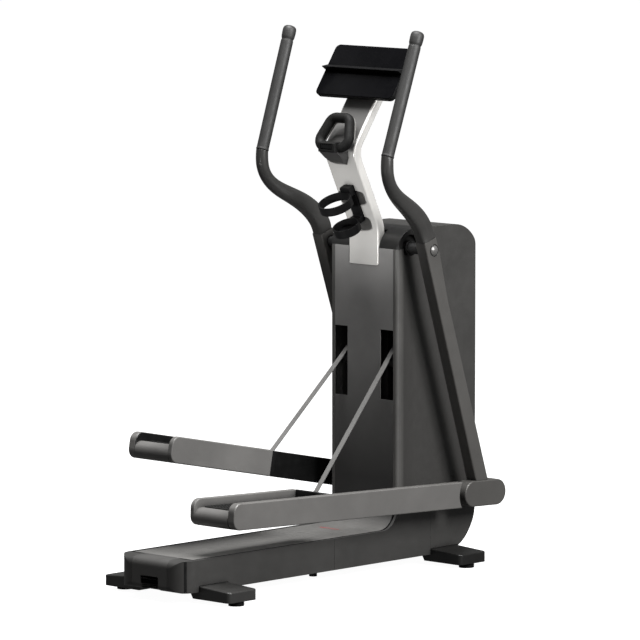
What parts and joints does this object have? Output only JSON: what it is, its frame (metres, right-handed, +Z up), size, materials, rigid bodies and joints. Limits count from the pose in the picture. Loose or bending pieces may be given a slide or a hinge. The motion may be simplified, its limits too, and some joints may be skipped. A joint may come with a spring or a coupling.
{
  "type": "elliptical trainer",
  "caption": "Elliptical trainer with suspended pedals: long base, upright drive tower, swinging arms with curved handles, straps holding the pedals, mast with bottle holder, loop grip and display.",
  "frame": {"origin": "on the floor, centre of the footprint", "axes": "+Z up, +Y forward for the user (towards the tower), +X to the user's right"},
  "size_m": [0.591, 1.4255, 1.7675],
  "materials": {
    "shell": "satin charcoal, fine texture",
    "panel": "satin dark grey",
    "metallic": "satin graphite powder coat",
    "beam": "satin graphite powder coat",
    "silver": "satin light grey",
    "frame_paint": "satin black",
    "tray": "moulded grey plastic",
    "rubber": "matte black",
    "strap": "ribbed grey",
    "black_plastic": "black",
    "console_gloss": "gloss black",
    "steel": "machined",
    "cap": "satin graphite",
    "iron": "turned",
    "sensor": "satin light grey"
  },
  "bodies": {
    "frame": {"base_shell_right": "shell", "base_shell_left": "shell", "base_lid": "panel", "tail_cover": "shell", "tower_panel": "panel", "column_shell_right": "shell", "column_shell_left": "shell", "shoulder_cover": "shell", "front_cowl": "shell", "base_frame": "frame_paint", "tower_frame": "frame_paint", "rear_stabiliser": "metallic", "front_stabiliser": "metallic", "centre_pad": "rubber", "main_axle": "steel", "axle_caps": "cap", "mast": "silver", "console_housing": "black_plastic", "console_screen": "console_gloss", "tablet_shelf": "black_plastic", "loop_grip": "rubber", "loop_sensor": "sensor", "loop_bracket": "black_plastic", "bottle_holder": "black_plastic", "brake_magnet": "black_plastic", "power_inlet": "black_plastic"},
    "rocker": {"rocker_key": "black_plastic"},
    "flywheel": {"flywheel": "iron", "drive_shaft": "steel"},
    "wheels": {"transport_wheels": "rubber"},
    "arm_right": {"arm_tube_right": "metallic", "handle_bar_right": "metallic", "hand_grip_right": "rubber", "arm_bearing_right": "steel", "arm_foot_right": "metallic"},
    "hub_right": {"pivot_hub_right": "steel"},
    "pedal_right": {"pedal_beam_right": "beam", "footplate_right": "tray", "foot_mat_right": "rubber"},
    "bush_right": {"strap_bush_right": "steel"},
    "strap_right": {"strap_right": "strap"},
    "guide_right": {"guide_pulley_right": "black_plastic"},
    "drum_right": {"strap_drum_right": "black_plastic"},
    "arm_left": {"arm_tube_left": "metallic", "handle_bar_left": "metallic", "hand_grip_left": "rubber", "arm_bearing_left": "steel", "arm_foot_left": "metallic"},
    "hub_left": {"pivot_hub_left": "steel"},
    "pedal_left": {"pedal_beam_left": "beam", "footplate_left": "tray", "foot_mat_left": "rubber"},
    "bush_left": {"strap_bush_left": "steel"},
    "strap_left": {"strap_left": "strap"},
    "guide_left": {"guide_pulley_left": "black_plastic"},
    "drum_left": {"strap_drum_left": "black_plastic"},
    "foot_rear_right": {"levelling_foot_rear_right": "rubber"},
    "foot_rear_left": {"levelling_foot_rear_left": "rubber"},
    "foot_front_right": {"levelling_foot_front_right": "rubber"},
    "foot_front_left": {"levelling_foot_front_left": "rubber"}
  },
  "joints": [
    {"name": "flywheel_spin", "type": "hinge", "parent": "frame", "child": "flywheel", "pos_m": [0, 0.49, 0.43], "axis": [1, 0, 0], "continuous": true},
    {"name": "wheel_roll", "type": "hinge", "parent": "frame", "child": "wheels", "pos_m": [0, 0.5915, 0.026], "axis": [1, 0, 0], "continuous": true},
    {"name": "rocker_tilt", "type": "hinge", "parent": "frame", "child": "rocker", "pos_m": [0, 0.1034, 1.389], "axis": [0, 0, 1], "range_deg": [-2, 2], "stiffness_Nm_per_rad": 0.3},
    {"name": "arm_swing_right", "type": "hinge", "parent": "frame", "child": "arm_right", "pos_m": [0.229, 0.341, 1.052], "axis": [1, 0, 0], "range_deg": [-12, 12]},
    {"name": "hub_turn_right", "type": "hinge", "parent": "arm_right", "child": "hub_right", "pos_m": [0.2175, 0.53198, 0.23856], "axis": [1, 0, 0], "range_deg": [-12, 12]},
    {"name": "pedal_pitch_right", "type": "hinge", "parent": "hub_right", "child": "pedal_right", "pos_m": [0.2175, 0.53198, 0.23856], "axis": [-1, 0, 0], "range_deg": [-3, 12]},
    {"name": "bush_turn_right", "type": "hinge", "parent": "pedal_right", "child": "bush_right", "pos_m": [0.12, -0.09094, 0.27941], "axis": [1, 0, 0], "range_deg": [-5, 5]},
    {"name": "strap_swing_right", "type": "hinge", "parent": "bush_right", "child": "strap_right", "pos_m": [0.12, -0.09094, 0.27941], "axis": [1, 0, 0], "range_deg": [-11, 11]},
    {"name": "guide_spin_right", "type": "hinge", "parent": "frame", "child": "guide_right", "pos_m": [0.1, 0.315, 0.678], "axis": [1, 0, 0], "continuous": true},
    {"name": "drum_turn_right", "type": "hinge", "parent": "frame", "child": "drum_right", "pos_m": [0.1, 0.49, 0.43], "axis": [1, 0, 0], "range_deg": [-240, 240]},
    {"name": "arm_swing_left", "type": "hinge", "parent": "frame", "child": "arm_left", "pos_m": [-0.229, 0.341, 1.052], "axis": [1, 0, 0], "range_deg": [-12, 12]},
    {"name": "hub_turn_left", "type": "hinge", "parent": "arm_left", "child": "hub_left", "pos_m": [-0.2175, 0.55602, 0.24459], "axis": [1, 0, 0], "range_deg": [-12, 12]},
    {"name": "pedal_pitch_left", "type": "hinge", "parent": "hub_left", "child": "pedal_left", "pos_m": [-0.2175, 0.55602, 0.24459], "axis": [-1, 0, 0], "range_deg": [-12, 3]},
    {"name": "bush_turn_left", "type": "hinge", "parent": "pedal_left", "child": "bush_left", "pos_m": [-0.12, -0.0526, 0.38345], "axis": [1, 0, 0], "range_deg": [-5, 5]},
    {"name": "strap_swing_left", "type": "hinge", "parent": "bush_left", "child": "strap_left", "pos_m": [-0.12, -0.0526, 0.38345], "axis": [1, 0, 0], "range_deg": [-11, 11]},
    {"name": "guide_spin_left", "type": "hinge", "parent": "frame", "child": "guide_left", "pos_m": [-0.1, 0.315, 0.678], "axis": [1, 0, 0], "continuous": true},
    {"name": "drum_turn_left", "type": "hinge", "parent": "frame", "child": "drum_left", "pos_m": [-0.1, 0.49, 0.43], "axis": [1, 0, 0], "range_deg": [-240, 240]},
    {"name": "foot_screw_rear_right", "type": "slide", "parent": "frame", "child": "foot_rear_right", "axis": [0, 0, -1], "range_m": [0, 0.012]},
    {"name": "foot_screw_rear_left", "type": "slide", "parent": "frame", "child": "foot_rear_left", "axis": [0, 0, -1], "range_m": [0, 0.012]},
    {"name": "foot_screw_front_right", "type": "slide", "parent": "frame", "child": "foot_front_right", "axis": [0, 0, -1], "range_m": [0, 0.012]},
    {"name": "foot_screw_front_left", "type": "slide", "parent": "frame", "child": "foot_front_left", "axis": [0, 0, -1], "range_m": [0, 0.012]}
  ],
  "couplings": [
    {"joint": "arm_swing_left", "follows": "arm_swing_right", "ratio": -1},
    {"joint": "hub_turn_right", "follows": "arm_swing_right", "ratio": -1},
    {"joint": "hub_turn_left", "follows": "arm_swing_right", "ratio": 1},
    {"joint": "pedal_pitch_left", "follows": "pedal_pitch_right", "ratio": -1},
    {"joint": "bush_turn_right", "follows": "pedal_pitch_right", "ratio": 0.35},
    {"joint": "bush_turn_left", "follows": "pedal_pitch_right", "ratio": -0.23},
    {"joint": "strap_swing_right", "follows": "arm_swing_right", "ratio": 0.84},
    {"joint": "strap_swing_left", "follows": "arm_swing_right", "ratio": -0.82},
    {"joint": "drum_turn_right", "follows": "arm_swing_right", "ratio": -19.3},
    {"joint": "drum_turn_left", "follows": "arm_swing_right", "ratio": 19.3}
  ]
}
